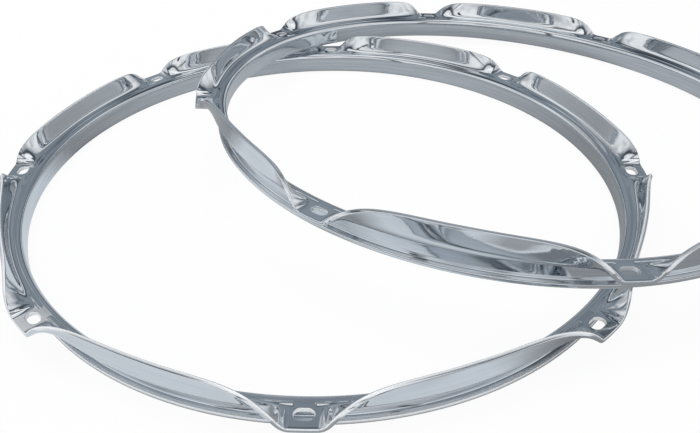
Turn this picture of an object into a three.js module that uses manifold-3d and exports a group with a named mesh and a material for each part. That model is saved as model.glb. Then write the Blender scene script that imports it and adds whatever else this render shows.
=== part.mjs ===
// A pair of fourteen inch flanged drum hoops, shown with the playing rim down.
// One hoop lies flat and the other leans across it, with its low side on the table.
// Each hoop is one strip of steel, rolled into a ring, pressed to its section and plated.

import * as THREE from 'three';
import { mergeVertices } from 'three/addons/utils/BufferGeometryUtils.js';
import Module from 'manifold-3d';

const wasm = await Module();
wasm.setup();

// Sizes of one hoop in millimetres. Radii are measured from the hoop's axis.
const sheet = 2.3;            // thickness of the strip
const wallRadius = 179;       // inside of the wall, which clears the drum shell
const footReach = 3.4;        // how far the turned-out rim stands past the wall
const footBend = 0.6;         // inside radius of the bend between rim and wall
const ledgeHeight = 14.8;     // top of the ledge and of the ears, above the rim
const ledgeWidth = 7.3;       // from the inside of the wall to the inside of the lip
const shoulderBend = 1.2;     // inside radius of the bend between wall and ledge
const lipBend = 3;            // inside radius of the bend between ledge and lip
const lipHeight = 13.4;       // the lip's edge above the ledge
const rodOffset = 4.2;        // from the inside of the lip to the middle of the rod slots

// Sizes of the ears, along the circle through the rod slots
const earCount = 8;
const earHalfWidth = 5.7;     // flat part of an ear, each way from its middle
const creaseLength = 4;       // beside the flat part, the length over which the fold sets in
const wingLength = 14.2;      // how slowly the lip stands up again beside an ear
const lipAngle = THREE.MathUtils.degToRad(90.7);   // the lip's angle away from the ears
const slotLength = 9.2;
const slotWidth = 6.2;
const cutOverrun = 1;         // how far the slot cutter passes each face of the strip

// Where the second hoop leans, seen from above
const leanOffsetX = 114;
const leanOffsetY = 57;
const leanTurn = THREE.MathUtils.degToRad(8.8);
const seatClearance = 0.4;    // air left between the two hoops where one rests on the other
const footMargin = 0.5;       // strip of the table beside the rim that is kept clear as well
const feelerSpacing = 0.8;    // widest distance between the points that feel for support
const seatTolerance = 0.004;  // how far a point may stand above the plane that rests on the others

// Fineness of the facets
const stationsPerWing = 8;
const footSteps = 2;
const shoulderSteps = 3;
const lipSteps = 3;
const slotSteps = 4;
const restRounds = 4;

// Sizes that follow
const footRadius = wallRadius + sheet + footReach;
const lipRadius = wallRadius + ledgeWidth;
const rodCircleRadius = lipRadius + rodOffset;
const ledgeEnd = lipRadius - lipBend;
const bendLength = lipBend * lipAngle;
const lipStraight = lipHeight - lipBend;
const earPitch = 2 * Math.PI / earCount;
const halfPitchArc = rodCircleRadius * earPitch / 2;
const ringMargin = lipHeight + ledgeWidth;    // covers a facet that only partly reaches the rim

const up = new THREE.Vector3(0, 0, 1);

// Fold of the lip at an arc from the nearest ear's middle: flat on the ear, upright between.
// It sets in gently over the crease. The rate is how fast it grows along the arc.
function lipFold(arc) {
  const pastEar = Math.max(Math.abs(arc) - earHalfWidth, 0);
  const inCrease = Math.min(pastEar, creaseLength);
  const wingArc = pastEar - inCrease + inCrease ** 2 / (2 * creaseLength);
  const left = lipAngle * Math.exp(-wingArc / wingLength);
  const setIn = inCrease / creaseLength;
  return { angle: lipAngle - left, rate: Math.sign(arc) * setIn * left / wingLength };
}

// A point of the section: its radius, its place along the hoop and its height
function sectionPoint(radius, height) {
  return new THREE.Vector3(radius, 0, height);
}

function arcPoints(centre, radius, from, to, steps) {
  return Array.from({ length: steps + 1 }, (_, step) => {
    const angle = from + (to - from) * step / steps;
    return sectionPoint(
      centre.x + radius * Math.cos(angle),
      centre.z + radius * Math.sin(angle),
    );
  });
}

// The way through the sheet, from its inner face, where it turns up by an angle and also
// climbs along the hoop by a slope
function wayThrough(angle, slope) {
  return new THREE.Vector3(Math.sin(angle), slope, -Math.cos(angle)).normalize();
}

// The lip's bend and its edge on the inner face, each point with the way through the sheet
function lipPath(fold) {
  const path = [];
  for (let step = 0; step <= lipSteps; step += 1) {
    const angle = fold.angle * step / lipSteps;
    const along = bendLength * step / lipSteps;
    const half = angle / 2;
    const chord = half > 0 ? along * Math.sin(half) / half : along;
    path.push({
      point: sectionPoint(
        ledgeEnd + chord * Math.cos(half),
        ledgeHeight + chord * Math.sin(half),
      ),
      through: wayThrough(angle, fold.rate * along * step / lipSteps / 2),
    });
  }
  const edge = path[lipSteps].point.clone();
  edge.x += lipStraight * Math.cos(fold.angle);
  edge.z += lipStraight * Math.sin(fold.angle);
  const edgeSlope = fold.rate * (lipStraight + bendLength / 2);
  path.push({ point: edge, through: wayThrough(fold.angle, edgeSlope) });
  return path;
}

// Section of the strip where its lip has some fold
function section(fold) {
  const footCentre = sectionPoint(wallRadius + sheet + footBend, sheet + footBend);
  const shoulderCentre = sectionPoint(
    wallRadius + sheet + shoulderBend,
    ledgeHeight - sheet - shoulderBend,
  );
  const lip = lipPath(fold);
  const innerFace = [
    sectionPoint(footRadius, 0),
    ...arcPoints(footCentre, footBend + sheet, 1.5 * Math.PI, Math.PI, footSteps),
    ...arcPoints(shoulderCentre, shoulderBend + sheet, Math.PI, Math.PI / 2, shoulderSteps),
    ...lip.map(({ point }) => point),
  ];
  const outerFace = [
    ...lip.map(({ point, through }) => point.clone().addScaledVector(through, sheet)).reverse(),
    ...arcPoints(shoulderCentre, shoulderBend, Math.PI / 2, Math.PI, 1),
    ...arcPoints(footCentre, footBend, Math.PI, 1.5 * Math.PI, 1),
    sectionPoint(footRadius, sheet),
  ];
  return [...innerFace, ...outerFace];
}

// Angles round the hoop, close together beside the ears where the lip bends most
function stationAngles() {
  const angles = [];
  const betweenEars = halfPitchArc - earHalfWidth;
  for (let ear = 0; ear < earCount; ear += 1) {
    const arcs = [0];
    for (let step = 0; step <= stationsPerWing; step += 1) {
      arcs.push(earHalfWidth + betweenEars * (step / stationsPerWing) ** 2);
    }
    const back = arcs.slice(1, -1).reverse().map((arc) => 2 * halfPitchArc - arc);
    for (const arc of [...arcs, ...back]) {
      angles.push(ear * earPitch + arc / rodCircleRadius);
    }
  }
  return angles;
}

function arcFromNearestEar(angle) {
  const past = angle - earPitch * Math.round(angle / earPitch);
  return past * rodCircleRadius;
}

// Rings of points, one ring for each station
function hoopRings() {
  return stationAngles().map((angle) => (
    section(lipFold(arcFromNearestEar(angle))).map((point) => point.applyAxisAngle(up, angle))));
}

function stripGeometry(rings) {
  const count = rings[0].length;
  const index = [];
  rings.forEach((_, ring) => {
    const here = ring * count;
    const next = ((ring + 1) % rings.length) * count;
    for (let point = 0; point < count; point += 1) {
      const after = (point + 1) % count;
      index.push(here + point, here + after, next + point);
      index.push(here + after, next + after, next + point);
    }
  });
  const geometry = new THREE.BufferGeometry().setFromPoints(rings.flat());
  geometry.setIndex(index);
  return geometry;
}

// Cutter for one rod slot, its length along the hoop and its round ends half its width
function slotGeometry(angle) {
  const half = (slotLength - slotWidth) / 2;
  const shape = new THREE.Shape();
  shape.absarc(0, half, slotWidth / 2, 0, Math.PI);
  shape.absarc(0, -half, slotWidth / 2, Math.PI, 2 * Math.PI);
  const cutter = new THREE.ExtrudeGeometry(shape, {
    depth: sheet + 2 * cutOverrun,
    bevelEnabled: false,
    curveSegments: slotSteps,
  });
  cutter.translate(rodCircleRadius, 0, ledgeHeight - sheet - cutOverrun);
  return cutter.rotateZ(angle);
}

function toSolid(geometry) {
  const bare = geometry.clone();
  bare.deleteAttribute('normal');
  bare.deleteAttribute('uv');
  const merged = mergeVertices(bare);
  return new wasm.Manifold(new wasm.Mesh({
    numProp: 3,
    vertProperties: Float32Array.from(merged.attributes.position.array),
    triVerts: Uint32Array.from(merged.index.array),
  }));
}

function toGeometry(solid) {
  const mesh = solid.getMesh();
  const geometry = new THREE.BufferGeometry();
  geometry.setAttribute('position', new THREE.BufferAttribute(mesh.vertProperties, 3));
  geometry.setIndex(new THREE.BufferAttribute(mesh.triVerts, 1));
  geometry.computeVertexNormals();
  return geometry;
}

function hoopGeometry(rings) {
  let hoop = toSolid(stripGeometry(rings));
  for (let ear = 0; ear < earCount; ear += 1) {
    hoop = hoop.subtract(toSolid(slotGeometry(ear * earPitch)));
  }
  return toGeometry(hoop);
}

// Points all over one facet
function facetPoints([a, b, c]) {
  const longest = Math.max(a.distanceTo(b), b.distanceTo(c), c.distanceTo(a));
  const steps = Math.ceil(longest / feelerSpacing);
  const alongB = b.clone().sub(a).divideScalar(steps);
  const alongC = c.clone().sub(a).divideScalar(steps);
  const points = [];
  for (let row = 0; row <= steps; row += 1) {
    for (let step = 0; step <= steps - row; step += 1) {
      points.push(a.clone().addScaledVector(alongB, row).addScaledVector(alongC, step));
    }
  }
  return points;
}

// Points of the flat hoop, close together on each facet that reaches under the leaning hoop's rim
function supportPoints(strip, isUnderRim) {
  const corners = [0, 1, 2].map(() => new THREE.Vector3());
  const points = [];
  for (let first = 0; first < strip.index.count; first += corners.length) {
    corners.forEach((corner, place) => {
      corner.fromBufferAttribute(strip.attributes.position, strip.index.getX(first + place));
    });
    if (corners.some(isUnderRim)) points.push(...facetPoints(corners));
  }
  return points;
}

function planeThrough([a, b, c]) {
  const normal = b.clone().sub(a).cross(c.clone().sub(a));
  if (normal.z < 0) normal.negate();
  normal.normalize();
  return {
    normal,
    heightAt: ({ x, y }) => a.z - (normal.x * (x - a.x) + normal.y * (y - a.y)) / normal.z,
  };
}

// How far inside a triangle a place lies, seen from above: negative when it is outside
function depthInside(corners, place) {
  const side = (a, b, p) => (b.x - a.x) * (p.y - a.y) - (b.y - a.y) * (p.x - a.x);
  const [a, b, c] = corners;
  const whole = side(a, b, c);
  return Math.min(side(a, b, place) / whole, side(b, c, place) / whole, side(c, a, place) / whole);
}

function highestOver(plane, points) {
  let highest = points[0];
  let above = -Infinity;
  for (const point of points) {
    const height = point.z - plane.heightAt(point);
    if (height > above) {
      above = height;
      highest = point;
    }
  }
  return { highest, above };
}

// The plane that rests on three of the points, with the centre between them, and clears the rest
function restingPlane(points, centre, firstSupports) {
  let supports = firstSupports;
  let plane = planeThrough(supports);
  for (let round = 0; round < points.length; round += 1) {
    const { highest, above } = highestOver(plane, points);
    if (above < seatTolerance) break;
    supports = supports
      .map((_, place) => supports.map((old, other) => (other === place ? highest : old)))
      .reduce((best, next) => (
        depthInside(next, centre) > depthInside(best, centre) ? next : best));
    plane = planeThrough(supports);
  }
  return plane;
}

// Sets the second hoop down on the flat one and on the table
function leanOn(rings, hoop) {
  const spin = new THREE.Quaternion().setFromAxisAngle(up, leanTurn);
  const centre = new THREE.Vector3(leanOffsetX, leanOffsetY, 0);
  const nearRim = ({ x, y }) => {
    const radius = Math.hypot(x - centre.x, y - centre.y);
    return radius > wallRadius - ringMargin && radius < footRadius + ringMargin;
  };
  const raised = supportPoints(stripGeometry(rings), nearRim);
  raised.forEach((point) => point.addScaledVector(up, seatClearance));
  const tilt = new THREE.Quaternion();
  const local = new THREE.Vector3();
  const thirds = [0, 1, 2].map((third) => Math.floor(third * rings.length / 3));
  for (let round = 0; round < restRounds; round += 1) {
    const untilt = tilt.clone().invert();
    const underRim = raised.filter((point) => {
      local.subVectors(point, centre).applyQuaternion(untilt);
      const radius = Math.hypot(local.x, local.y);
      return radius > wallRadius - footMargin && radius < footRadius + footMargin;
    });
    const onTable = rings.map(([footEdge]) => (
      footEdge.clone().applyQuaternion(spin).applyQuaternion(tilt).add(centre).setZ(0)));
    const firstSupports = thirds.map((third) => onTable[third]);
    const plane = restingPlane([...onTable, ...underRim], centre, firstSupports);
    tilt.setFromUnitVectors(up, plane.normal);
    centre.setZ(plane.heightAt(centre));
  }
  hoop.position.copy(centre);
  hoop.quaternion.copy(tilt).multiply(spin);
}

function chrome(color) {
  return new THREE.MeshStandardMaterial({ color, metalness: 1, roughness: 0.12 });
}

const rings = hoopRings();
const geometry = hoopGeometry(rings);

const flatHoop = new THREE.Mesh(geometry, chrome(0xc9ccd0));
flatHoop.name = 'flat_hoop';

const leaningHoop = new THREE.Mesh(geometry, chrome(0xc4c8cd));
leaningHoop.name = 'leaning_hoop';
leanOn(rings, leaningHoop);

const pair = new THREE.Group();
pair.add(flatHoop, leaningHoop);

// The origin is on the table, under the middle of the pair
pair.updateMatrixWorld(true);
const box = new THREE.Box3().setFromObject(pair, true);
const middle = box.getCenter(new THREE.Vector3());
pair.position.set(-middle.x, -middle.y, -box.min.z);

export default pair;
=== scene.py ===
"""Two chrome plated drum hoops on a white table, one flat and one leaning across it.

Each hoop is one pressed strip. Its section is a turned-out rim, a wall, a ledge and a lip,
and at eight ears the lip is folded flat and has a slot for a tension rod. A Geometry Nodes
tree holds the rule for that strip and repeats it round the hoop. Sizes are in metres.
"""

import logging
import math
from collections.abc import Iterable
from dataclasses import dataclass, fields
from enum import Enum

import bpy
import numpy as np
from mathutils import Matrix, Vector


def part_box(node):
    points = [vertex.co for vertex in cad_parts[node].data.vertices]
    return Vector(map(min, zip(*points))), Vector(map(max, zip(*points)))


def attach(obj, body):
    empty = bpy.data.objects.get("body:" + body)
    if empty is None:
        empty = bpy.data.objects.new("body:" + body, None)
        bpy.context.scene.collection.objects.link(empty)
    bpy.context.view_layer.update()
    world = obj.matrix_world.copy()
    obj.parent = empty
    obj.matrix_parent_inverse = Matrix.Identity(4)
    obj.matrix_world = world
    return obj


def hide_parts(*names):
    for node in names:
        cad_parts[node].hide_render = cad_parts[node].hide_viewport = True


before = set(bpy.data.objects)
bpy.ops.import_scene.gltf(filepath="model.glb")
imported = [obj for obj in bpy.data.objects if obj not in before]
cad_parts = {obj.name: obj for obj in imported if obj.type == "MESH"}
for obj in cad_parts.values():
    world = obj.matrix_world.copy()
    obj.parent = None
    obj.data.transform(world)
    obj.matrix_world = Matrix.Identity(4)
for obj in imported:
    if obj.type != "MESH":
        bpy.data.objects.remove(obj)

LOG = logging.getLogger("hoops")
PHOTO_WIDTH = 700
PHOTO_HEIGHT = 433
MM = 0.001
FULL_TURN = math.tau
HALF_TURN = math.pi
QUARTER_TURN = math.pi / 2
TINY = 1e-4  # keeps a divisor off nought
TO_EAR = 1.5  # power that crowds a wing's steps toward its ear
TO_SLOT = 2  # power that crowds the ear's steps toward its slot
NOISE_MIDDLE = 0.5

Tree = bpy.types.NodeTree
Socket = bpy.types.NodeSocket
Color = tuple[float, float, float, float]
Rise = tuple[float, float]

WHITE: Color = (1.0, 1.0, 1.0, 1.0)


class Node(Enum):
    """Node types that the trees are built from."""

    ENTRY = "NodeGroupInput"
    LEAVE = "NodeGroupOutput"
    MATH = "ShaderNodeMath"
    SPLIT = "ShaderNodeSeparateXYZ"
    COMBINE = "ShaderNodeCombineXYZ"
    GRID = "GeometryNodeMeshGrid"
    POSITION = "GeometryNodeInputPosition"
    INDEX = "GeometryNodeInputIndex"
    SET_POSITION = "GeometryNodeSetPosition"
    DELETE = "GeometryNodeDeleteGeometry"
    JOIN = "GeometryNodeJoinGeometry"
    MERGE = "GeometryNodeMergeByDistance"
    POINTS = "GeometryNodePoints"
    INSTANCE = "GeometryNodeInstanceOnPoints"
    REALIZE = "GeometryNodeRealizeInstances"
    STORE = "GeometryNodeStoreNamedAttribute"
    SHADE = "GeometryNodeSetShadeSmooth"
    SET_MATERIAL = "GeometryNodeSetMaterial"
    PLACE = "ShaderNodeTexCoord"
    ATTRIBUTE = "ShaderNodeAttribute"
    NOISE = "ShaderNodeTexNoise"
    COLOR_RAMP = "ShaderNodeValToRGB"
    BLEND = "ShaderNodeMix"
    EFFECT = "ShaderNodeGroup"
    BUMP = "ShaderNodeBump"
    LIGHT_PATH = "ShaderNodeLightPath"
    PLATE = "ShaderNodeBsdfPrincipled"
    MATT = "ShaderNodeBsdfDiffuse"
    GLOW = "ShaderNodeEmission"
    ROOM = "ShaderNodeBackground"
    EITHER = "ShaderNodeMixShader"
    SURFACE = "ShaderNodeOutputMaterial"
    WORLD = "ShaderNodeOutputWorld"


def fill(sockets: Iterable[Socket], values: Iterable[object]) -> None:
    """Fills inputs in turn, each with a plain value or a link.

    Args:
        sockets: the inputs.
        values: plain values, formulas, sockets, or nodes for their first output.
    """
    for socket, value in zip(sockets, values):
        if isinstance(value, Formula):
            value = value.socket
        elif isinstance(value, bpy.types.Node):
            value = value.outputs[0]
        if isinstance(value, Socket):
            socket.id_data.links.new(value, socket)
        else:
            socket.default_value = value


class Formula:
    """A value that varies over a mesh or a surface, written as a formula of math nodes."""

    def __init__(self, socket: Socket) -> None:
        """Keeps the socket that holds the value."""
        self.socket = socket

    def calc(self, operation: str, *others: "Formula | float", clamp: bool = False) -> "Formula":
        """Adds one math node with this value as its first input.

        Args:
            operation: the math node's operation.
            others: the remaining inputs, as formulas or plain numbers.
            clamp: whether the result is held between 0 and 1.

        Returns:
            The node's result.
        """
        node = self.socket.id_data.nodes.new(Node.MATH.value)
        node.operation = operation
        node.use_clamp = clamp
        fill(node.inputs, (self, *others))
        return Formula(node.outputs[0])

    def __add__(self, other: "Formula | float") -> "Formula":
        """Sum of two values."""
        return self.calc("ADD", other)

    __radd__ = __add__

    def __sub__(self, other: "Formula | float") -> "Formula":
        """Difference of two values."""
        return self.calc("SUBTRACT", other)

    def __rsub__(self, other: float) -> "Formula":
        """A plain number less this value."""
        return (self * -1) + other

    def __mul__(self, other: "Formula | float") -> "Formula":
        """Product of two values."""
        return self.calc("MULTIPLY", other)

    __rmul__ = __mul__

    def __truediv__(self, other: "Formula | float") -> "Formula":
        """Quotient of two values."""
        return self.calc("DIVIDE", other)

    def __pow__(self, power: float) -> "Formula":
        """This value raised to a power."""
        return self.calc("POWER", power)

    def sin(self) -> "Formula":
        """Sine."""
        return self.calc("SINE")

    def cos(self) -> "Formula":
        """Cosine."""
        return self.calc("COSINE")

    def root(self) -> "Formula":
        """Square root."""
        return self.calc("SQRT")

    def size(self) -> "Formula":
        """Absolute value."""
        return self.calc("ABSOLUTE")

    def sign(self) -> "Formula":
        """Minus one, nought or one."""
        return self.calc("SIGN")

    def at_least(self, low: "Formula | float") -> "Formula":
        """This value, or the lower limit where it is less."""
        return self.calc("MAXIMUM", low)

    def at_most(self, high: "Formula | float") -> "Formula":
        """This value, or the upper limit where it is more."""
        return self.calc("MINIMUM", high)

    def held(self, low: float, high: float) -> "Formula":
        """This value held between two limits."""
        return self.at_least(low).at_most(high)

    def ramp(self, start: float, steps: float) -> "Formula":
        """Rises from 0 to 1 over some steps from a start."""
        return (self - start).calc("DIVIDE", steps, clamp=True)


class TreeMaker:
    """Adds nodes to one tree, and fills their inputs."""

    def __init__(self, tree: Tree) -> None:
        """Keeps the tree."""
        self.tree = tree

    def node(self, kind: Node, group: Tree | None = None, **inputs: object) -> bpy.types.Node:
        """Adds a node.

        Args:
            kind: the node's type.
            group: the shared group that an effect's node holds.
            inputs: what to fill inputs from, by input name with _ for a space.

        Returns:
            The new node.
        """
        made = self.tree.nodes.new(kind.value)
        if group:
            made.node_tree = group
        fill([made.inputs[name.replace("_", " ")] for name in inputs], inputs.values())
        return made

    def port(self, name: str, kind: str, way: str = "INPUT") -> bpy.types.NodeTreeInterfaceSocket:
        """Gives the tree itself an input or an output."""
        return self.tree.interface.new_socket(name, in_out=way, socket_type="NodeSocket" + kind)

    def combine(self, *parts: Formula | float) -> Socket:
        """Joins values into a vector.

        Args:
            parts: up to three formulas or plain numbers.

        Returns:
            The vector's socket.
        """
        node = self.node(Node.COMBINE)
        fill(node.inputs, parts)
        return node.outputs[0]

    def split(self, vector: Socket) -> list[Formula]:
        """The X, Y and Z of a vector."""
        return [Formula(each) for each in self.node(Node.SPLIT, Vector=vector).outputs]

    def noise(self, place: Socket, **inputs: object) -> Formula:
        """A noise's value at a place, from 0 to 1."""
        return Formula(self.node(Node.NOISE, Vector=place, **inputs).outputs[0])

    def effect(self, group: Tree, **inputs: object) -> Formula:
        """The value of a shared shader group, with inputs given as for a node."""
        return Formula(self.node(Node.EFFECT, group, **inputs).outputs[0])

    def blend(self, share: Formula, low: object, high: object) -> Socket:
        """Blends two colours.

        Args:
            share: share of the second colour.
            low: the first colour, plain, or a socket or node that gives it.
            high: the second colour, given in the same way.

        Returns:
            The socket of the blended colour.
        """
        node = self.node(Node.BLEND)
        node.data_type = "RGBA"
        colors = [socket for socket in node.inputs if socket.type == "RGBA"]
        fill((node.inputs["Factor"], *colors), (share, low, high))
        return next(socket for socket in node.outputs if socket.type == "RGBA")

    def either(self, share: object, low: bpy.types.Node, high: bpy.types.Node) -> bpy.types.Node:
        """Mixes two shaders.

        Args:
            share: share of the second shader, as a formula or a socket.
            low: the first shader's node.
            high: the second shader's node.

        Returns:
            The node that mixes them.
        """
        node = self.node(Node.EITHER)
        fill(node.inputs, (share, low, high))
        return node


def placed(name: str, data: bpy.types.ID) -> bpy.types.Object:
    """Makes an object and puts it in the scene.

    Args:
        name: the object's name.
        data: its mesh, lamp or camera data.

    Returns:
        The new object.
    """
    made = bpy.data.objects.new(name, data)
    bpy.context.scene.collection.objects.link(made)
    return made


@dataclass(frozen=True)
class HoopSizes:
    """Driving sizes of one hoop in metres, with angles in radians.

    Each field becomes a named input of the hoop's tree.
    """

    sheet: float = 2.3 * MM
    wall_radius: float = 179 * MM
    foot_reach: float = 3.4 * MM
    foot_bend: float = 0.6 * MM
    ledge_height: float = 14.8 * MM
    ledge_width: float = 7.3 * MM
    shoulder_bend: float = 1.2 * MM
    lip_bend: float = 3 * MM
    lip_height: float = 13.4 * MM
    lip_angle: float = math.radians(90.7)
    rod_offset: float = 4.2 * MM
    ear_half_width: float = 5.7 * MM
    crease: float = 4 * MM
    wing_length: float = 14.2 * MM
    slot_length: float = 9.2 * MM
    slot_width: float = 6.2 * MM
    slot_round: float = 0.3 * MM
    edge_round: float = 0.6 * MM
    # width of the band beside the rim whose colour is a painted highlight
    rim_highlight_width: float = 1 * MM


@dataclass(frozen=True)
class EdgeHighlights:
    """Where the strip's cut edges and a band beside the rim look brushed and get a painted
    highlight, a near-white colour, as starts and widths of rises.

    The rises run along the edge's turn in radians, its sine, or a length in metres.
    """

    wing: Rise = (13 * MM, 14 * MM)
    wing_shift: float = 0.4
    lip_from: Rise = (0.45, 0.35)
    lip_until: Rise = (0.95, 0.6)
    rim: Rise = (0.84, 0.12)
    rim_highlight_until: Rise = (0.6, 0.8)
    under_rim: Rise = (2.0, 0.6)


@dataclass(frozen=True)
class HoopSteps:
    """How finely each stretch of the strip is cut into faces."""

    ears: int = 8
    ear_half: int = 6
    patch_half: int = 6
    wing: int = 34
    foot: int = 3
    foot_bend: int = 6
    wall: int = 5
    shoulder: int = 7
    ledge: int = 2
    lip_bend: int = 6
    lip: int = 7
    edge: int = 10
    patch_bend_rows: int = 3
    patch_lip_rows: int = 5
    bore: int = 1
    bore_round: int = 3
    plate: int = 3

    @property
    def face(self) -> int:
        """Steps from the rim's edge to the lip's edge on one face of the strip."""
        low = self.foot + self.foot_bend + self.wall
        return low + self.shoulder + self.ledge + self.lip_bend + self.lip

    @property
    def outline(self) -> int:
        """Steps once round the section."""
        return 2 * (self.face + self.edge)

    @property
    def half_sector(self) -> int:
        """Steps from an ear's middle to half way to the next ear."""
        return self.ear_half + self.wing

    @property
    def bend_start(self) -> int:
        """Step where the lip's bend starts."""
        return self.face - self.lip - self.lip_bend

    @property
    def patch_start(self) -> int:
        """Step where the patch round a slot starts."""
        return self.bend_start + self.lip_bend - self.patch_bend_rows

    @property
    def patch_rows(self) -> int:
        """Rows of the strip that the patch round a slot takes up."""
        return self.patch_bend_rows + self.patch_lip_rows


@dataclass
class StripTree(TreeMaker):
    """Geometry Nodes tree that holds the rule for a pressed hoop."""

    sizes: HoopSizes = HoopSizes()
    steps: HoopSteps = HoopSteps()
    # where the cut edges get their brushed look and painted highlight
    highlight_marks: EdgeHighlights = EdgeHighlights()
    weld: float = 0.05 * MM

    def __post_init__(self) -> None:
        """Makes the tree, its inputs and its nodes."""
        super().__init__(bpy.data.node_groups.new("pressed_hoop", "GeometryNodeTree"))
        self.port("Geometry", "Geometry", "OUTPUT")
        self.inputs = {each.name: self.port(each.name, "Float") for each in fields(self.sizes)}
        self.inputs["finish"] = self.port("finish", "Material")
        self.entry = self.node(Node.ENTRY)
        self._derive()
        self._build()

    def given(self, name: str) -> Formula:
        """One of the tree's inputs as a formula."""
        return Formula(self.entry.outputs[name])

    def _derive(self) -> None:
        """Works out the sizes that follow from the inputs."""
        given = self.given
        self.sheet = given("sheet")
        self.ledge_height = given("ledge_height")
        self.edge_round = given("edge_round")
        self.lip_angle = given("lip_angle")
        wall_radius = given("wall_radius")
        lip_bend = given("lip_bend")
        foot_bend = given("foot_bend")
        shoulder_bend = given("shoulder_bend")
        lip_radius = wall_radius + given("ledge_width")
        self.foot_radius = wall_radius + self.sheet + given("foot_reach")
        self.rod_radius = lip_radius + given("rod_offset")
        self.ledge_end = lip_radius - lip_bend
        self.foot_arc = foot_bend + self.sheet
        self.shoulder_arc = shoulder_bend + self.sheet
        self.foot_flat = given("foot_reach") - foot_bend - self.edge_round
        self.wall_flat = self.ledge_height - self.foot_arc - self.shoulder_arc
        self.ledge_flat = self.ledge_end - wall_radius - self.shoulder_arc
        self.bend_length = lip_bend * self.lip_angle
        self.lip_flat = given("lip_height") - lip_bend - self.edge_round
        bends = (self.foot_arc + self.shoulder_arc) * QUARTER_TURN
        self.run_to_bend = self.foot_flat + self.wall_flat + self.ledge_flat + bends

    def grid(self, across: int, along: int) -> tuple[bpy.types.Node, Formula, Formula]:
        """Makes a flat grid with steps of one, and counts its steps.

        Args:
            across: steps in X.
            along: steps in Y.

        Returns:
            The grid's node, and the step in X and in Y of each point, both from nought.
        """
        made = self.node(
            Node.GRID, Size_X=across, Size_Y=along, Vertices_X=across + 1, Vertices_Y=along + 1
        )
        from_x, from_y, _ = self.split(self.node(Node.POSITION).outputs[0])
        return made, from_x + across / 2, from_y + along / 2

    def arc_at(self, step: Formula) -> Formula:
        """Signed arc on the rod circle of a step along the strip.

        Args:
            step: steps from an ear's middle, less than nought on one side.

        Returns:
            The arc in metres, which is nought at the ear's middle.
        """
        steps = self.steps
        half_width = self.given("ear_half_width")
        half_pitch = self.rod_radius * (HALF_TURN / steps.ears)
        from_ear = step.size()
        on_ear = from_ear.ramp(0, steps.ear_half) * half_width
        on_wing = from_ear.ramp(steps.ear_half, steps.wing) ** TO_EAR * (half_pitch - half_width)
        return (on_ear + on_wing) * step.sign()

    def fold_at(self, arc: Formula) -> tuple[Formula, Formula]:
        """The lip's fold: none on the ear, and rising to upright by an exponential law.

        Args:
            arc: signed arc from the nearest ear's middle.

        Returns:
            The fold's angle and how fast it grows along the arc.
        """
        crease = self.given("crease")
        wing_length = self.given("wing_length")
        past = (arc.size() - self.given("ear_half_width")).at_least(0)
        in_crease = past.at_most(crease)
        wing_arc = past - in_crease + in_crease * in_crease / (crease * 2)
        left = self.lip_angle * (wing_arc / wing_length * -1).calc("EXPONENT")
        to_next = self.rod_radius * (HALF_TURN / self.steps.ears) - arc.size()
        set_in = in_crease / crease * (to_next / crease).held(0, 1)
        return self.lip_angle - left, left / wing_length * set_in * arc.sign()

    def reach(self, step: Formula) -> tuple[Formula, Formula]:
        """How far a step across one face lies into the lip's bend, and how far past it.

        Args:
            step: steps from the rim's edge.

        Returns:
            The length inside the bend and the length past it.
        """
        steps = self.steps
        in_bend = step.ramp(steps.bend_start, steps.lip_bend) * self.bend_length
        past_bend = step.ramp(steps.face - steps.lip, steps.lip) * self.lip_flat
        return in_bend, past_bend

    def strip(self) -> Socket:
        """Makes the strip of one sector, open where the patch round the slot goes.

        Returns:
            The strip's mesh.
        """
        steps = self.steps
        grid, lap, station = self.grid(steps.outline, 2 * steps.half_sector)
        along = station - steps.half_sector
        face = steps.face
        step = lap.held(0, face) - (lap - face - steps.edge).held(0, face)
        lip_turn = lap.ramp(face, steps.edge) * HALF_TURN
        foot_turn = lap.ramp(2 * face + steps.edge, steps.edge) * HALF_TURN

        arc = self.arc_at(along)
        fold, rate = self.fold_at(arc)

        at_foot = step.ramp(0, steps.foot) * self.foot_flat
        foot_angle = step.ramp(steps.foot, steps.foot_bend) * QUARTER_TURN
        wall_start = steps.foot + steps.foot_bend
        at_wall = step.ramp(wall_start, steps.wall) * self.wall_flat
        shoulder_angle = step.ramp(wall_start + steps.wall, steps.shoulder) * QUARTER_TURN
        at_ledge = step.ramp(steps.bend_start - steps.ledge, steps.ledge) * self.ledge_flat
        in_bend, past_bend = self.reach(step)
        bend_share = in_bend / self.bend_length

        lip_over = self.edge_round * lip_turn.sin().at_least(0).root()
        foot_over = self.edge_round * foot_turn.sin().at_least(0).root()
        lip_run = past_bend + lip_over
        half_fold = fold * bend_share * 0.5
        some_fold = half_fold.at_least(TINY)
        chord = in_bend * some_fold.sin() / some_fold

        radius = (
            self.foot_radius - self.edge_round + foot_over - at_foot
            - self.foot_arc * foot_angle.sin()
            + self.shoulder_arc * (1 - shoulder_angle.cos())
            + at_ledge + chord * half_fold.cos() + lip_run * fold.cos()
        )
        height = (
            self.foot_arc * (1 - foot_angle.cos()) + at_wall
            + self.shoulder_arc * shoulder_angle.sin()
            + chord * half_fold.sin() + lip_run * fold.sin()
        )

        heading = HALF_TURN - foot_angle - shoulder_angle + fold * bend_share
        slope = rate * (in_bend * bend_share * 0.5 + lip_run)
        depth = self.sheet * (self.turned(lip_turn) - self.turned(foot_turn))
        depth = depth / (slope * slope + 1).root()
        radius = radius + depth * heading.sin()
        height = height - depth * heading.cos()
        aside = depth * slope

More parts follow.
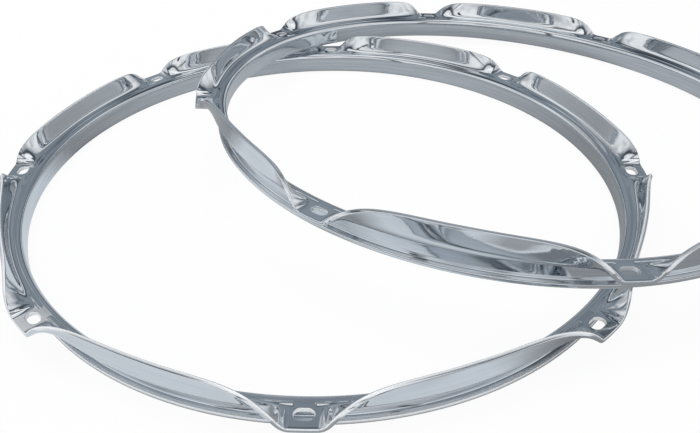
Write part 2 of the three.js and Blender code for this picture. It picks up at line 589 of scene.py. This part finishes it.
        angle = arc / self.rod_radius
        place = self.combine(
            radius * angle.cos() - aside * angle.sin(),
            radius * angle.sin() + aside * angle.cos(),
            height,
        )
        start = steps.patch_start
        on_patch = (
            step.calc("GREATER_THAN", start)
            * step.calc("LESS_THAN", start + steps.patch_rows)
            * along.size().calc("LESS_THAN", steps.patch_half)
        )
        cut = self.node(Node.DELETE, Geometry=grid, Selection=on_patch)
        cut.domain = "FACE"
        run = (
            at_foot + self.foot_arc * foot_angle + at_wall
            + self.shoulder_arc * shoulder_angle + at_ledge + in_bend + past_bend
        )
        outside = lap.calc("GREATER_THAN", face + steps.edge)
        # share of the brushed look and painted highlight on the cut edges and beside the rim
        edge_highlight = self.edge_highlight(arc, run, lip_turn, foot_turn, outside)
        mapped = self.mapped(cut.outputs[0], arc, run, edge_highlight)
        return self.node(Node.SET_POSITION, Geometry=mapped, Position=place).outputs[0]

    def edge_highlight(
        self, arc: Formula, run: Formula, lip_turn: Formula, foot_turn: Formula, outside: Formula
    ) -> Formula:
        """How far the strip looks brushed and gets a painted highlight: along its cut edges and
        beside the rim's.

        Args:
            arc: signed arc from the nearest ear's middle.
            run: length round the section from the rim.
            lip_turn: turn round the lip's cut edge.
            foot_turn: turn round the rim's cut edge.
            outside: 1 on the strip's outer face and 0 elsewhere.

        Returns:
            The share, from 0 to 1.
        """
        highlight_marks = self.highlight_marks
        turn = lip_turn - arc.size().ramp(*highlight_marks.wing) * highlight_marks.wing_shift
        on_lip = turn.ramp(*highlight_marks.lip_from) * (1 - turn.ramp(*highlight_marks.lip_until))
        lit_edges = on_lip + foot_turn.sin().ramp(*highlight_marks.rim)
        beside_rim = 1 - (run / self.given("rim_highlight_width")).ramp(*highlight_marks.rim_highlight_until)
        rim_highlight = outside * beside_rim * (1 - foot_turn.ramp(*highlight_marks.under_rim))
        return lit_edges.at_least(rim_highlight)

    @staticmethod
    def turned(turn: Formula) -> Formula:
        """Share of the sheet's thickness crossed at an angle of a rounded cut edge."""
        across = turn.cos()
        return (1 - across.sign() * across.size().root()) * 0.5

    def patch(self) -> Socket:
        """Makes the ear's plate round its slot, on both faces, with the slot's rounded bore.

        Returns:
            The patch's mesh.
        """
        steps = self.steps
        rows = steps.patch_rows
        columns = 2 * steps.patch_half
        round_steps = 2 * (rows + columns)
        half_depth = steps.bore + steps.bore_round + steps.plate
        grid, lap, layer = self.grid(round_steps, 2 * half_depth)

        column = lap.held(0, columns) - (lap - columns - rows).held(0, columns)
        row = (lap - columns).held(0, rows) - (lap - 2 * columns - rows).held(0, rows)
        in_bend, past_bend = self.reach(row + steps.patch_start)
        radius = self.ledge_end + in_bend + past_bend
        angle = self.arc_at(column - steps.patch_half) / self.rod_radius
        edge_x = radius * angle.cos() - self.rod_radius
        edge_y = radius * angle.sin()

        reach = (edge_x * edge_x + edge_y * edge_y).root()
        way_x = edge_x / reach
        way_y = edge_y / reach

        depth = layer - half_depth
        below = depth.size()
        corner = below.ramp(steps.bore, steps.bore_round) * QUARTER_TURN
        on_plate = below.ramp(steps.bore + steps.bore_round, steps.plate) ** TO_SLOT
        slot_width = self.given("slot_width")
        slot_round = self.given("slot_round")
        out = slot_round * (1 - corner.cos())
        bore = (self.sheet * 0.5 - slot_round) * below.ramp(0, steps.bore)
        height = (bore + slot_round * corner.sin()) * depth.sign()

        radius_out = slot_width * 0.5 + out
        straight = (self.given("slot_length") - slot_width) * 0.5
        wide = way_x.size()
        high = way_y.size()
        to_side = radius_out / wide.at_least(TINY)
        inside = (radius_out * radius_out - straight * straight * wide * wide).at_least(0)
        to_cap = straight * high + inside.root()
        at_side = (high * radius_out).calc("LESS_THAN", wide * straight)
        slot = to_side * at_side + to_cap * (1 - at_side)
        far = slot + (reach - slot) * on_plate

        middle_height = self.ledge_height - self.sheet * 0.5
        place = self.combine(self.rod_radius + way_x * far, way_y * far, middle_height + height)
        across = self.run_to_bend + self.rod_radius - self.ledge_end + way_x * far
        # the slot's rounded bore gets the same brushed look and painted highlight as the cut edges
        highlighted = 1 - below.ramp(steps.bore, steps.bore_round)
        mapped = self.mapped(grid.outputs["Mesh"], way_y * far, across, highlighted)
        return self.node(Node.SET_POSITION, Geometry=mapped, Position=place).outputs[0]

    def mapped(self, mesh: Socket, along: Formula, across: Formula, highlighted: Formula) -> Socket:
        """Stores lengths along and across the strip as a map, and the share of brushed look and
        painted highlight on cut edges.
        """
        unwrapped = self.store(mesh, "UVMap", ("FLOAT2", "CORNER"), self.combine(along, across))
        return self.store(unwrapped, "edge_highlight_mask", ("FLOAT", "POINT"), highlighted)

    def store(self, mesh: Socket, name: str, kind: tuple[str, str], value: object) -> Socket:
        """Stores a value on a mesh.

        Args:
            mesh: the mesh.
            name: the attribute's name.
            kind: its data type and its domain.
            value: a formula, or a vector's socket.

        Returns:
            The mesh with the attribute.
        """
        kept = self.node(Node.STORE)
        kept.data_type, kept.domain = kind
        fill([kept.inputs[label] for label in ("Geometry", "Name", "Value")], (mesh, name, value))
        return kept.outputs[0]

    def _build(self) -> None:
        """Joins strip and patch into a sector, repeats it round the hoop and closes it."""
        sector = self.node(Node.JOIN)
        for part in (self.strip(), self.patch()):
            fill(sector.inputs, [part])
        count = self.steps.ears
        turn = Formula(self.node(Node.INDEX).outputs[0]) * (FULL_TURN / count)
        points = self.node(Node.POINTS, Count=count)
        turned = self.combine(0.0, 0.0, turn)
        ring = self.node(Node.INSTANCE, Points=points, Instance=sector, Rotation=turned)
        real = self.node(Node.REALIZE, Geometry=ring)
        closed = self.node(Node.MERGE, Geometry=real, Distance=self.weld)
        smooth = self.node(Node.SHADE, Geometry=closed)
        finish = self.entry.outputs["finish"]
        dressed = self.node(Node.SET_MATERIAL, Geometry=smooth, Material=finish)
        fill(self.node(Node.LEAVE).inputs, [dressed])

    def make(self, name: str, finish: bpy.types.Material) -> bpy.types.Object:
        """Makes one hoop at the origin as a plain mesh.

        Args:
            name: the object's name.
            finish: the material of its plating.

        Returns:
            The hoop, linked to the scene.
        """
        seed = placed(name + ".seed", bpy.data.meshes.new(name + ".seed"))
        modifier = seed.modifiers.new("strip", "NODES")
        modifier.node_group = self.tree
        for each in fields(self.sizes):
            modifier[self.inputs[each.name].identifier] = getattr(self.sizes, each.name)
        modifier[self.inputs["finish"].identifier] = finish
        seed.update_tag()
        bpy.context.view_layer.update()
        solved = seed.evaluated_get(bpy.context.evaluated_depsgraph_get())
        mesh = bpy.data.meshes.new_from_object(solved)
        seed.modifiers.remove(modifier)
        bpy.data.objects.remove(seed)
        mesh.name = name
        return placed(name, mesh)


@dataclass(frozen=True)
class Stance:
    """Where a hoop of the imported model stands, read from its surface."""

    middle: Vector
    axis: Vector
    phase: float

    @classmethod
    def of(cls, node: bpy.types.Object, ears: int) -> "Stance":
        """Measures a hoop by the moments of its surface.

        Args:
            node: the hoop's node in the frame.
            ears: how many ears it has.

        Returns:
            The middle of its surface, its axis and the angle of an ear in its own plane.
        """
        mesh = node.data
        mesh.calc_loop_triangles()
        points = np.empty(len(mesh.vertices) * 3)
        mesh.vertices.foreach_get("co", points)
        corners = np.empty(len(mesh.loop_triangles) * 3, dtype=np.int64)
        mesh.loop_triangles.foreach_get("vertices", corners)
        facets = points.reshape(-1, 3)[corners.reshape(-1, 3)]
        sides = facets[:, 1:] - facets[:, :1]
        area = np.linalg.norm(np.cross(sides[:, 0], sides[:, 1]), axis=1)
        spots = facets.mean(axis=1)
        middle = np.average(spots, axis=0, weights=area)
        from_middle = spots - middle
        spread = np.einsum("i,ij,ik->jk", area, from_middle, from_middle)
        axis = Vector(np.linalg.eigh(spread)[1][:, 0])
        if axis.z < 0:
            axis.negate()
        level = np.array(axis.rotation_difference(Vector((0, 0, 1))).to_matrix())
        flat = from_middle @ level.T
        radius = np.hypot(flat[:, 0], flat[:, 1])
        angle = np.arctan2(flat[:, 1], flat[:, 0])
        wave = np.sum(area * (radius - radius.mean()) * np.exp(1j * ears * angle))
        return cls(Vector(middle), axis, float(np.angle(wave)) / ears)

    def move_from(self, upright: "Stance") -> Matrix:
        """The move that takes a hoop from the stance of one that lies flat to this one.

        Args:
            upright: the stance of the hoop that lies flat.

        Returns:
            The move.
        """
        lean = Vector((0, 0, 1)).rotation_difference(self.axis).to_matrix().to_4x4()
        turn = Matrix.Rotation(self.phase - upright.phase, 4, "Z")
        return Matrix.Translation(self.middle) @ lean @ turn @ Matrix.Translation(-upright.middle)


class EffectGroup(TreeMaker):
    """A shader group with coordinates and numbers as inputs and one number as output."""

    def __init__(self, name: str, inputs: dict[str, float]) -> None:
        """Makes the group with its inputs and its output.

        Args:
            name: the group's name.
            inputs: the usual value of each number input, by its label.
        """
        super().__init__(bpy.data.node_groups.new(name, "ShaderNodeTree"))
        self.port("Place", "Vector")
        for label, value in inputs.items():
            self.port(label, "Float").default_value = value
        self.port("Value", "Float", "OUTPUT")
        entry = self.node(Node.ENTRY)
        self.place = entry.outputs["Place"]
        self.given = {label: Formula(entry.outputs[label]) for label in inputs}

    def closed(self, value: Formula) -> Tree:
        """Gives the group its output and returns the group."""
        fill(self.node(Node.LEAVE).inputs, [value])
        return self.tree


def press_ripple() -> Tree:
    """Slow waves that the press leaves in the strip.

    Returns:
        The group, whose value is a height in metres.
    """
    make = EffectGroup("press_ripple", {"Waves per metre": 30.0, "Depth": 0.0002})
    given = make.given
    wave = make.noise(make.place, Scale=given["Waves per metre"], Detail=1.5, Roughness=0.45)
    return make.closed((wave - NOISE_MIDDLE) * given["Depth"])


def fold_stretch() -> Tree:
    """How much the press has stretched the lip beside an ear.

    Returns:
        The group, whose value is a share from 0 to 1.
    """
    inputs = {"Middle": 0.022, "Spread": 0.016, "Lip start": 0.0205, "Lip rise": 0.003}
    make = EffectGroup("fold_stretch", inputs)
    given = make.given
    arc, run, _ = make.split(make.place)
    off = (arc.size() - given["Middle"]) / given["Spread"]
    on_lip = (run - given["Lip start"]).ramp(0, given["Lip rise"])
    return make.closed((off * off * -1).calc("EXPONENT") * on_lip)


def stretch_swirls() -> Tree:
    """Curved lines where the sheet has stretched, like a map's contours.

    Returns:
        The group, whose value is a height in metres.
    """
    inputs = {
        "Swirls per metre": 16.0,
        "Lines": 14.0,
        "Shown from": 0.45,
        "Shown over": 0.15,
        "Height": 0.000008,
    }
    make = EffectGroup("stretch_swirls", inputs)
    given = make.given
    level = make.noise(make.place, Scale=given["Swirls per metre"], Detail=1.0, Distortion=0.6)
    lines = level * given["Lines"] * FULL_TURN
    shown = level.ramp(given["Shown from"], given["Shown over"])
    return make.closed(lines.sin() * shown * given["Height"])


def ear_stamp() -> Tree:
    """Lines that the press leaves beside and behind an ear's flat.

    Returns:
        The group, whose value is a height in metres.
    """
    inputs = {
        "Side line": 0.00855,
        "Inner spread": 0.0004,
        "Outer spread": 0.003,
        "Side waves": 0.003,
        "Side from": 0.025,
        "Side rise": 0.002,
        "Side height": 0.00012,
        "Back line": 0.0229,
        "Back spread": 0.0009,
        "Back from": 0.0044,
        "Back rise": 0.001,
        "Back until": 0.018,
        "Back fall": 0.004,
        "Back height": 0.0003,
    }
    make = EffectGroup("ear_stamp", inputs)
    given = make.given
    signed_arc, run, _ = make.split(make.place)
    arc = signed_arc.size()
    off = arc - given["Side line"]
    outer = off.at_least(0)
    spread = outer / given["Outer spread"] + off.at_most(0) / given["Inner spread"]
    waves = (outer / given["Side waves"] * FULL_TURN).cos()
    on_plate = run.ramp(given["Side from"], given["Side rise"])
    side = (spread * spread * -1).calc("EXPONENT") * waves * on_plate
    behind = (run - given["Back line"]) / given["Back spread"]
    from_slot = arc.ramp(given["Back from"], given["Back rise"])
    to_wing = 1 - arc.ramp(given["Back until"], given["Back fall"])
    back = (behind * behind * -1).calc("EXPONENT") * (from_slot * to_wing)
    return make.closed(side * given["Side height"] + back * given["Back height"])


def rolling_grain() -> Tree:
    """Fine lines along the strip from rolling and polishing.

    Returns:
        The group, whose value is a height in metres.
    """
    inputs = {"Lines per metre": 2500.0, "Stretch": 0.02, "Depth": 0.000001}
    make = EffectGroup("rolling_grain", inputs)
    given = make.given
    arc, run, _ = make.split(make.place)
    lines = given["Lines per metre"]
    place = make.combine(arc * lines * given["Stretch"], run * lines)
    level = make.noise(place, Scale=1.0, Detail=2.0)
    return make.closed((level - NOISE_MIDDLE) * given["Depth"])


def polish_streaks() -> Tree:
    """Streaks along the strip where it is polished less.

    Returns:
        The group, whose value is a share from 0 to 1.
    """
    inputs = {"Along per metre": 14.0, "Across per metre": 420.0, "Contrast": 2.2}
    make = EffectGroup("polish_streaks", inputs)
    given = make.given
    arc, run, _ = make.split(make.place)
    place = make.combine(arc * given["Along per metre"], run * given["Across per metre"])
    level = make.noise(place, Scale=1.0, Detail=3.0)
    share = (level - NOISE_MIDDLE) * given["Contrast"] + NOISE_MIDDLE
    return make.closed(share.held(0, 1))


def handling_haze() -> Tree:
    """Patches where handling has dulled the plating.

    Returns:
        The group, whose value is a share from 0 to 1.
    """
    inputs = {"Patches per metre": 25.0, "Cover": 0.4, "Sharpness": 4.0}
    make = EffectGroup("handling_haze", inputs)
    given = make.given
    level = make.noise(make.place, Scale=given["Patches per metre"], Detail=5.0, Roughness=0.6)
    above = level - (1 - given["Cover"])
    return make.closed(above.calc("MULTIPLY", given["Sharpness"], clamp=True))


def new_material(name: str) -> bpy.types.Material:
    """Makes a material with an empty tree.

    Args:
        name: the material's name.

    Returns:
        The material.
    """
    made = bpy.data.materials.new(name)
    made.use_nodes = True
    made.node_tree.nodes.clear()
    return made


class PlateTree(TreeMaker):
    """A plating's tree, with what its effects read."""

    def __init__(self, tree: Tree, edge_highlight_share: float) -> None:
        """Reads the hoop's own coordinates, the strip's map and the share of brushed look and
        painted highlight on its cut edges.

        Args:
            tree: the material's tree.
            edge_highlight_share: how strongly the cut edges' brushed look and painted highlight
                show.
        """
        super().__init__(tree)
        places = self.node(Node.PLACE).outputs
        self.spot, self.flat_map = places["Object"], places["UV"]
        self.arc, self.run, _ = self.split(self.flat_map)
        mark = self.node(Node.ATTRIBUTE)
        mark.attribute_name = "edge_highlight_mask"
        # share of the cut edges' brushed look and painted highlight
        self.edge = Formula(mark.outputs["Fac"]) * edge_highlight_share


@dataclass(frozen=True)
class ChromePlate:
    """Bright chrome over nickel on pressed steel. Colours are linear, and lengths in metres."""

    name: str
    color: Color = (0.7, 0.73, 0.76, 1.0)
    haze_color: Color = (0.6, 0.63, 0.66, 1.0)
    streak_color: Color = (0.54, 0.58, 0.62, 1.0)
    # near-white colour of the cut edges: a painted highlight
    edge_highlight_color: Color = (0.95, 0.96, 0.97, 1.0)
    roughness: float = 0.05
    haze_roughness: float = 0.17
    edge_roughness: float = 0.5
    edge_metal: float = 0.2
    edge_highlight_share: float = 1.0
    rim_metal_until: Rise = (5 * MM, 5 * MM)
    ripples: float = 32.0
    ripple_depth: float = 0.0004
    creases: float = 42.0
    crease_depth: float = 0.00018
    swirl_height: float = 0.000006
    grain_depth: float = 0.0000018
    combed_depth: float = 0.000003
    grain_from: Rise = (6 * MM, 3 * MM)
    grain_until: Rise = (34 * MM, 1.5 * MM)
    haze_cover: float = 0.45
    haze_share: float = 0.5
    least_streak: float = 0.1
    lip_from: Rise = (20 * MM, 4 * MM)
    lip_polish: float = 0.6

    def material(self, groups: dict[str, Tree]) -> bpy.types.Material:
        """Makes the plating's material.

        Args:
            groups: the shared effects by name.

        Returns:
            The material.
        """
        made = new_material(self.name)
        make = PlateTree(made.node_tree, self.edge_highlight_share)
        edge, run = make.edge, make.run
        haze = make.effect(groups["handling_haze"], Place=make.spot, Cover=self.haze_cover)
        streaks = make.effect(groups["polish_streaks"], Place=make.flat_map)
        streaks = streaks * (1 - run.ramp(*self.lip_from) * self.lip_polish)
        streaked = make.blend(streaks + self.least_streak, self.color, self.streak_color)
        hazed = make.blend(haze * self.haze_share, streaked, self.haze_color)
        face_roughness = haze * (self.haze_roughness - self.roughness) + self.roughness
        bump = make.node(Node.BUMP, Height=self._height(make, groups), Distance=1.0, Strength=1.0)
        # on the cut edges the colour is a painted highlight: near-white and mostly matt, with real
        # roughness
        plate = make.node(
            Node.PLATE,
            Base_Color=make.blend(edge, hazed, self.edge_highlight_color),
            Metallic=1 - edge * run.ramp(*self.rim_metal_until) * (1 - self.edge_metal),
            Roughness=face_roughness * (1 - edge) + edge * self.edge_roughness,
            Normal=bump,
        )
        make.node(Node.SURFACE, Surface=plate)
        return made

    def _height(self, make: PlateTree, groups: dict[str, Tree]) -> Formula:
        """The surface's height over its smooth form.

        Args:
            make: the material's tree.
            groups: the shared effects by name.

        Returns:
            The height in metres.
        """
        spot, run = make.spot, make.run
        ripple, grain = groups["press_ripple"], groups["rolling_grain"]
        waves = make.effect(
            ripple, Place=spot, Waves_per_metre=self.ripples, Depth=self.ripple_depth
        )
        creases = make.effect(
            ripple, Place=spot, Waves_per_metre=self.creases, Depth=self.crease_depth
        )
        stretch = make.effect(groups["fold_stretch"], Place=make.flat_map)
        stamp = make.effect(groups["ear_stamp"], Place=make.flat_map)
        swirls = make.effect(groups["stretch_swirls"], Place=spot, Height=self.swirl_height)
        along = make.effect(grain, Place=make.flat_map, Depth=self.grain_depth)
        across = make.effect(grain, Place=make.combine(run, make.arc), Depth=self.combed_depth)
        on_face = run.ramp(*self.grain_from) * (1 - run.ramp(*self.grain_until))
        pressed = waves + creases * stretch + stamp + swirls
        return pressed + (along + across) * on_face * (1 - make.edge)


def flat_foot() -> Vector:
    """Middle of the circle that the flat hoop stands on."""
    low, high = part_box("flat_hoop")
    return Vector(((low.x + high.x) / 2, (low.y + high.y) / 2, low.z))


@dataclass
class HoopPair:
    """The two hoops: one tree, two places and two platings."""

    steps: HoopSteps = HoopSteps()
    sizes: HoopSizes = HoopSizes()
    # how strongly each hoop's cut edges show their brushed look and painted highlight
    flat_edges: float = 1.0
    leaning_edges: float = 0.3

    def build(self) -> list[bpy.types.Object]:
        """Makes the flat hoop and the leaning hoop where the frame has them.

        Returns:
            Both hoops.
        """
        effects = (press_ripple, fold_stretch, ear_stamp, stretch_swirls)
        effects += (rolling_grain, polish_streaks, handling_haze)
        groups = {each.__name__: each() for each in effects}
        tree = StripTree(self.sizes, self.steps)
        down = Matrix.Translation(flat_foot())
        flat = Stance.of(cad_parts["flat_hoop"], self.steps.ears)
        lean = Stance.of(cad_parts["leaning_hoop"], self.steps.ears)
        places = {
            "flat": (down, self.flat_edges),
            "leaning": (lean.move_from(flat) @ down, self.leaning_edges),
        }
        pieces = []
        for body, (place, highlight_share) in places.items():
            finish = ChromePlate(f"{body}_hoop_chrome", edge_highlight_share=highlight_share).material(groups)
            hoop = tree.make(f"{body}_hoop_plated", finish)
            hoop.data.transform(place)
            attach(hoop, body)
            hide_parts(f"{body}_hoop")
            pieces.append(hoop)
        return pieces


@dataclass(frozen=True)
class TablePatch:
    """A part of the table with soft borders, in metres, given as rises.

    The near border counts toward the camera, and the left and right ones to the right.
    """

    near: Rise
    left: Rise | None = None
    right: Rise | None = None

    def share(self, side: Formula, toward: Formula) -> Formula:
        """Share of the patch at a place on the table.

        Args:
            side: how far the place lies to the right.
            toward: how far it lies toward the camera.

        Returns:
            The share, from 0 to 1.
        """
        inside = toward.ramp(*self.near)
        if self.left:
            inside = inside * side.ramp(*self.left)
        if self.right:
            inside = inside * (1 - side.ramp(*self.right))
        return inside


@dataclass(frozen=True)
class MirroredTable:
    """Painted light and shade on the table, seen only where the plating mirrors it."""

    middle_level: float = 0.2
    back_level: float = 0.26
    front_level: float = 0.59
    near: TablePatch = TablePatch(near=(0.18, 0.02), right=(0.04, 0.04))
    left: TablePatch = TablePatch(near=(0.13, 0.05), right=(0.02, 0.05))
    beyond: TablePatch = TablePatch(near=(0.22, 0.012), left=(-0.01, 0.03))
    beyond_shade: float = 0.85
    ear: TablePatch = TablePatch(near=(0.23, 0.003), left=(-0.09, 0.01), right=(-0.03, 0.01))
    ear_shade: float = 0.9
    inside: TablePatch = TablePatch(near=(-0.02, 0.04), right=(-0.13, 0.03))
    far_from: Rise = (0.03, 0.08)
    far_until: Rise = (0.145, 0.02)
    far_shade: float = 0.7
    rim_radius: float = 182.9 * MM
    rim_shade: Rise = (2.5 * MM, 0.5 * MM)

    def level(self, side: Formula, back: Formula) -> Formula:
        """Painted brightness at a place on the table, with a painted shadow under the flat hoop's
        rim.

        Args:
            side: the place's X.
            back: the place's Y.

        Returns:
            The brightness.
        """
        toward = back * -1
        front = self.near.share(side, toward).at_least(self.left.share(side, toward))
        front = front * (1 - self.beyond.share(side, toward) * self.beyond_shade)
        front = front * (1 - self.ear.share(side, toward) * self.ear_shade)
        front = front.at_least(self.inside.share(side, toward)) * self.front_level
        far = back.ramp(*self.far_from) * (1 - back.ramp(*self.far_until) * self.far_shade)
        level = front.at_least(far * self.back_level) + self.middle_level
        foot = flat_foot()
        off_x = side - foot.x
        off_y = back - foot.y
        from_rim = ((off_x * off_x + off_y * off_y).root() - self.rim_radius).size()
        # painted shadow under the flat hoop's rim, seen only in reflections
        return level * from_rim.ramp(*self.rim_shade)


@dataclass(frozen=True)
class MirroredRoom:
    """How bright the room is where the plating mirrors it, by the direction's parts.

    Each of the levels is a height from 0 to 1 and the red, green and blue there.
    """

    levels: tuple[tuple[float, float, float, float], ...] = (
        (0.0, 0.88, 0.9, 0.92),
        (0.12, 0.7, 0.74, 0.78),
        (0.16, 0.11, 0.12, 0.14),
        (0.24, 0.11, 0.12, 0.14),
        (0.3, 0.29, 0.33, 0.37),
        (0.8, 0.28, 0.32, 0.36),
        (0.84, 0.09, 0.1, 0.12),
        (0.9, 0.09, 0.1, 0.12),
        (0.93, 1.05, 1.05, 1.05),
        (1.0, 1.25, 1.25, 1.25),
    )
    front: Color = WHITE
    front_from: Rise = (0.25, 0.25)
    front_until: Rise = (0.78, 0.1)
    sides: Color = (0.95, 0.95, 0.95, 1.0)
    sides_from: Rise = (0.55, 0.2)
    panel: Color = (0.75, 0.75, 0.75, 1.0)
    panel_way: tuple[float, float, float] = (-0.46, 0.62, 0.63)
    panel_edge: Rise = (0.985, 0.01)
    cloud: float = 2.0
    cloud_scale: float = 2.5
    cloud_detail: float = 4.0
    cloud_limits: tuple[float, float] = (0.4, 1.15)
    stand_aside: float = 0.6
    stand_edge: Rise = (0.03, 0.03)
    stand_front: Rise = (0, 0.1)
    stand_shade: float = 0.85
    viewer: float = 0.1
    viewer_edge: Rise = (0.995, 0.003)
    least_front: float = 0.01

    def color(self, make: TreeMaker, way: list[Formula]) -> Socket:
        """Colour of the room in a direction.

        Args:
            make: the world's tree.
            way: the direction's X, Y and Z.

        Returns:
            The socket of the colour.
        """
        side, front, height = way
        ramp = make.node(Node.COLOR_RAMP, Fac=height)
        bar = ramp.color_ramp
        while len(bar.elements) < len(self.levels):
            bar.elements.new(0.5)
        for element, (height_share, *color) in zip(bar.elements, self.levels):
            element.position = height_share
            element.color = (*color, 1.0)
        ahead = (front * -1).ramp(*self.front_from) * (1 - height.ramp(*self.front_until))
        room = make.blend(ahead, ramp, self.front)
        room = make.blend(side.size().ramp(*self.sides_from), room, self.sides)
        return make.blend(self.toward(self.panel_way, way).ramp(*self.panel_edge), room, self.panel)

    def strength(self, make: TreeMaker, way: list[Formula], viewer_way: Vector) -> Formula:
        """Strength of the room in a direction: clouded, with two stands and the viewer dark.

        Args:
            make: the world's tree.
            way: the direction's X, Y and Z.
            viewer_way: the direction to the camera.

        Returns:
            The strength.
        """
        side, front, _ = way
        place = make.node(Node.PLACE).outputs["Generated"]
        noise = make.noise(place, Scale=self.cloud_scale, Detail=self.cloud_detail)
        uneven = ((noise - NOISE_MIDDLE) * self.cloud + 1).held(*self.cloud_limits)
        aside = side.size() / front.size().at_least(self.least_front)
        stand = 1 - (aside - self.stand_aside).size().ramp(*self.stand_edge)
        stand = stand * (front * -1).ramp(*self.stand_front)
        viewer = self.toward(viewer_way, way).ramp(*self.viewer_edge)
        return (1 - viewer * (1 - self.viewer)) * (uneven * (1 - stand * self.stand_shade))

    @staticmethod
    def toward(fixed: Vector | tuple, way: list[Formula]) -> Formula:
        """Cosine of the angle between a direction and a fixed one."""
        return sum((part * share for part, share in zip(way, fixed)), start=0.0)


@dataclass
class Studio:
    """The table, the soft light and the camera."""

    table: MirroredTable = MirroredTable()
    room: MirroredRoom = MirroredRoom()
    floor_size: float = 6.0
    floor_drop: float = 0.0001
    floor_color: Color = (0.95, 0.95, 0.95, 1.0)
    floor_glow: float = 0.93
    # bluish tint painted into the table's glow where the plating mirrors it
    floor_tint: Color = (0.94, 1.0, 1.06, 1.0)
    floor_mirrored: float = 0.75
    lamp_size: float = 1.5
    lamp_place: tuple[float, float, float] = (-0.3, 0.1, 1.5)
    lamp_power: float = 10.0
    azimuth: float = math.radians(2.93)
    elevation: float = math.radians(37.81)
    roll: float = math.radians(-1.524)
    distance: float = 0.40964
    target: tuple[float, float, float] = (-0.0527, -0.0852, 0.0)
    focal_pixels: float = 711.8
    centre_pixels: tuple[float, float] = (326.1, 244.7)
    clip_start: float = 0.01

    def floor(self) -> None:
        """Lays a white table under the hoops, with painted light and shade where the plating
        mirrors it.
        """
        half = self.floor_size / 2
        corners = [(-half, -half), (half, -half), (half, half), (-half, half)]
        mesh = bpy.data.meshes.new("table")
        mesh.from_pydata([(x, y, -self.floor_drop) for x, y in corners], [], [(0, 1, 2, 3)])
        made = new_material("white_table")
        make = TreeMaker(made.node_tree)
        side, back, _ = make.split(make.node(Node.PLACE).outputs["Object"])
        ray = make.node(Node.LIGHT_PATH).outputs
        seen = Formula(ray["Is Camera Ray"])
        mirrored = Formula(ray["Is Glossy Ray"]) + Formula(ray["Is Transmission Ray"])
        matt = make.node(Node.MATT, Color=self.floor_color)
        # white to the camera; in reflections its glow carries the table's painted light and shade
        white = make.node(
            Node.GLOW,
            Color=make.blend(seen, self.floor_tint, WHITE),
            Strength=mirrored * self.table.level(side, back) + seen,
        )
        share = seen * self.floor_glow + mirrored * self.floor_mirrored
        make.node(Node.SURFACE, Surface=make.either(share, matt, white))
        mesh.materials.append(made)
        placed("table", mesh)

    def sky(self) -> None:
        """A white room, darker half way up and behind the camera, as the plating mirrors it."""
        world = bpy.data.worlds.new("studio")
        bpy.context.scene.world = world
        world.use_nodes = True
        world.node_tree.nodes.clear()
        make = TreeMaker(world.node_tree)
        way = make.split(make.node(Node.PLACE).outputs["Generated"])
        lit = make.node(
            Node.ROOM,
            Color=self.room.color(make, way),
            Strength=self.room.strength(make, way, self.view_back),
        )
        white = make.node(Node.ROOM, Color=WHITE, Strength=1.0)
        seen = make.node(Node.LIGHT_PATH).outputs["Is Camera Ray"]
        make.node(Node.WORLD, Surface=make.either(seen, lit, white))

    def lamp(self) -> None:
        """Hangs one large soft lamp above the table."""
        data = bpy.data.lights.new("soft_lamp", "AREA")
        data.shape = "SQUARE"
        data.size = self.lamp_size
        data.energy = self.lamp_power
        lamp = placed("soft_lamp", data)
        lamp.location = self.lamp_place
        lamp.visible_glossy = False

    @property
    def view_back(self) -> Vector:
        """Direction from the object to the camera.

        Returns:
            The direction, with a length of one.
        """
        flat = math.cos(self.elevation)
        side = math.sin(self.azimuth) * flat
        return Vector((side, -math.cos(self.azimuth) * flat, math.sin(self.elevation)))

    def camera(self) -> None:
        """Sets the camera where the photograph was taken from."""
        back = self.view_back
        right = (-back).cross(Vector((0, 0, 1))).normalized()
        up = back.cross(right)
        leaned = right * math.cos(self.roll) + up * math.sin(self.roll)
        raised = up * math.cos(self.roll) - right * math.sin(self.roll)
        data = bpy.data.cameras.new("camera")
        data.sensor_fit = "HORIZONTAL"
        data.lens = self.focal_pixels * data.sensor_width / PHOTO_WIDTH
        data.shift_x = (PHOTO_WIDTH / 2 - self.centre_pixels[0]) / PHOTO_WIDTH
        data.shift_y = (self.centre_pixels[1] - PHOTO_HEIGHT / 2) / PHOTO_WIDTH
        data.clip_start = self.clip_start
        camera = placed("camera", data)
        turn = Matrix((leaned, raised, back)).transposed().to_4x4()
        camera.matrix_world = Matrix.Translation(Vector(self.target) + back * self.distance) @ turn
        bpy.context.scene.camera = camera

    def build(self) -> None:
        """Sets up the whole studio."""
        self.floor()
        self.sky()
        self.lamp()
        self.camera()
        bpy.context.scene.view_settings.view_transform = "Standard"


def main() -> None:
    """Builds the hoops and the studio, and reports each piece."""
    logging.basicConfig(level=logging.INFO, format="%(name)s: %(message)s")
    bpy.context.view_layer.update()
    Studio().build()
    for piece in HoopPair().build():
        LOG.info("%s has %d faces", piece.name, len(piece.data.polygons))


if __name__ == "__main__":
    main()
